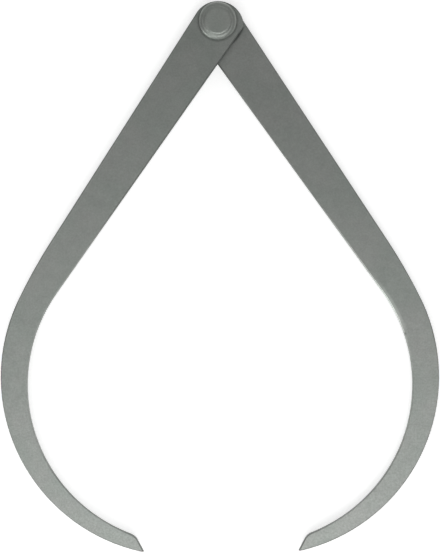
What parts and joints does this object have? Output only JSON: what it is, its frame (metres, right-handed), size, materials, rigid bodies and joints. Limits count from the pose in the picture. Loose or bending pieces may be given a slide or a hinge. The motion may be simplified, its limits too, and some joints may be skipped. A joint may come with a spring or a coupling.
{
  "type": "outside caliper",
  "caption": "Flat steel outside caliper: crossed bow legs clamped by a round stepped rivet, which open and close on a firm friction joint to take outside diameters.",
  "frame": {"origin": "on the rivet's axis, at the outer face of the rear disc, the lowest face", "axes": "+Z along the rivet from the rear disc to the head; -Y from the joint towards the measuring tips; +X towards the rear leg's side"},
  "size_m": [0.1638, 0.2054, 0.0099],
  "materials": {
    "leg_steel": "satin chrome plate over fine ground steel",
    "rivet_steel": "satin chrome plate over turned steel",
    "washer_brass": "thin rolled sheet"
  },
  "bodies": {
    "rear": {"rear_leg": "leg_steel", "joint_rivet": "rivet_steel", "rear_disc": "rivet_steel", "friction_washer": "washer_brass"},
    "front": {"front_leg": "leg_steel"}
  },
  "joints": [
    {"name": "opening", "type": "hinge", "parent": "rear", "child": "front", "pos_m": [0, 0, 0.0066], "axis": [0, 0, -1], "range_deg": [-16.6, 163.34]}
  ]
}
